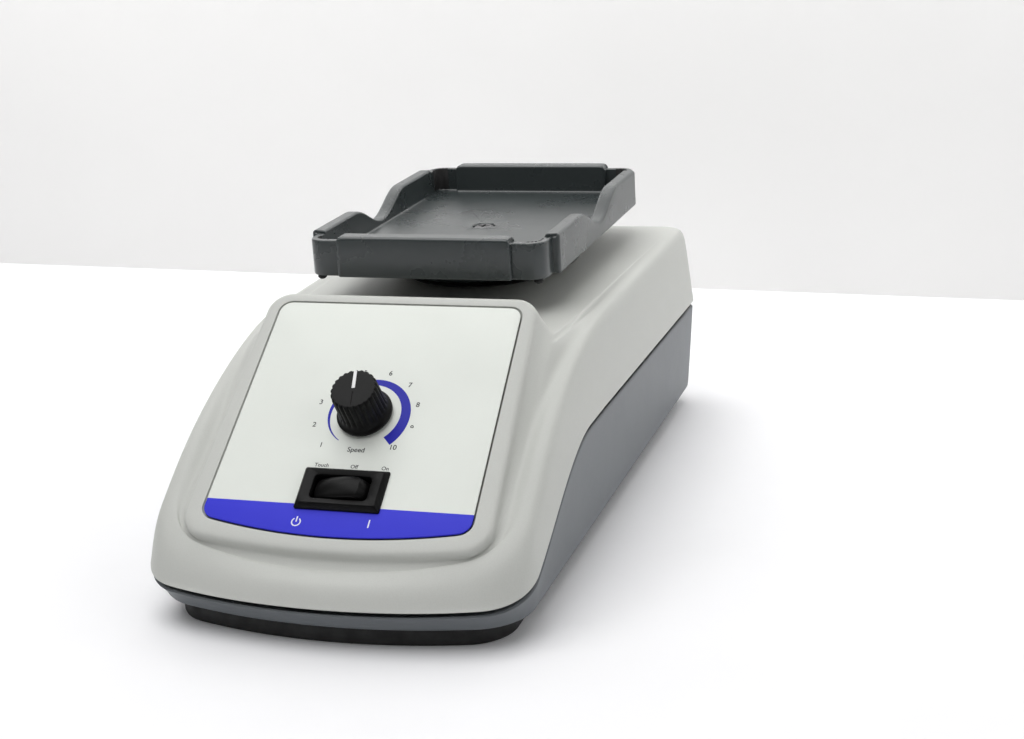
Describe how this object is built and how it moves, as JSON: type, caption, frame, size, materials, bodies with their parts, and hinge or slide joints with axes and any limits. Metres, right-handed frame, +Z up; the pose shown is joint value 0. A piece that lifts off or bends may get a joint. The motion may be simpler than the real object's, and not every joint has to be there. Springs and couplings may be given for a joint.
{
  "type": "vortex mixer",
  "caption": "Bench vortex mixer with a sloping control panel, speed knob, rocker switch and an orbiting tray for a microplate.",
  "frame": {"origin": "middle of the footprint, on the bench", "axes": "+X to the right of a user who faces the panel, +Y to the rear, +Z up"},
  "size_m": [0.1368, 0.27, 0.1066],
  "materials": {
    "cover": "light warm grey moulded plastic, fine texture",
    "base": "blue-grey moulded plastic, fine texture",
    "label": "satin printed overlay",
    "black_plastic": "black satin plastic",
    "white_plastic": "white plastic inlay",
    "dark_plastic": "dark component body",
    "steel": "turned steel",
    "board": "circuit board laminate",
    "contact": "plated contact",
    "cast_metal": "painted cast plate",
    "red_plastic": "moulded plastic",
    "aluminium": "pressed sheet",
    "motor_steel": "plated steel can",
    "bearing_steel": "ground steel",
    "rotor_steel": "laminated steel and copper",
    "hub_steel": "machined steel",
    "rubber": "soft black rubber",
    "tray": "dark slate grey moulded plastic"
  },
  "bodies": {
    "housing": {"upper_cover": "cover", "lower_base": "base", "front_label": "label", "pot_body": "dark_plastic", "pot_nut": "steel", "switch_housing": "black_plastic", "rocker_pin": "steel", "control_board": "board", "board_screws": "steel", "power_inlet": "black_plastic", "inlet_pins": "contact", "inlet_screws": "steel", "ballast_plate": "cast_metal", "ballast_screws": "steel", "carriage_posts": "steel", "carriage_springs": "steel", "touch_switch": "dark_plastic", "neck_boot": "rubber", "front_foot": "rubber", "rear_feet": "rubber", "housing_screws": "steel"},
    "knob": {"speed_knob": "black_plastic", "knob_pointer": "white_plastic", "pot_shaft": "steel"},
    "rocker": {"switch_rocker": "black_plastic"},
    "carriage": {"motor_carriage": "aluminium", "motor_case": "motor_steel", "motor_screws": "steel", "lower_bearing": "bearing_steel", "upper_bearing": "bearing_steel"},
    "plunger": {"touch_plunger": "red_plastic"},
    "rotor": {"motor_rotor": "rotor_steel", "eccentric_hub": "hub_steel", "counterweight": "hub_steel"},
    "head": {"head_bearing": "bearing_steel", "head_spindle": "black_plastic", "microplate_tray": "tray", "tray_screw": "steel", "tray_pegs": "rubber"}
  },
  "joints": [
    {"name": "speed_dial", "type": "hinge", "parent": "housing", "child": "knob", "pos_m": [0, -0.07918, 0.06049], "axis": [0, -0.585, 0.8111], "range_deg": [-144, 126]},
    {"name": "rocker_tilt", "type": "hinge", "parent": "housing", "child": "rocker", "pos_m": [0, -0.10114, 0.03898], "axis": [0, 0.8111, 0.585], "range_deg": [0, 22]},
    {"name": "head_press", "type": "slide", "parent": "housing", "child": "carriage", "axis": [0, 0, 1], "range_m": [-0.0015, 0], "stiffness_N_per_m": 8000, "springref_m": 0.005, "deforming": ["carriage_springs"]},
    {"name": "plunger_travel", "type": "slide", "parent": "housing", "child": "plunger", "axis": [0, 0, 1], "range_m": [-0.0015, 0]},
    {"name": "motor_spin", "type": "hinge", "parent": "carriage", "child": "rotor", "pos_m": [0, 0.0522, 0.07], "axis": [0, 0, 1], "continuous": true},
    {"name": "head_orbit", "type": "hinge", "parent": "rotor", "child": "head", "pos_m": [0, 0.05465, 0.076], "axis": [0, 0, 1], "continuous": true}
  ],
  "couplings": [
    {"joint": "plunger_travel", "follows": "head_press", "ratio": 1},
    {"joint": "head_orbit", "follows": "motor_spin", "ratio": -1}
  ]
}
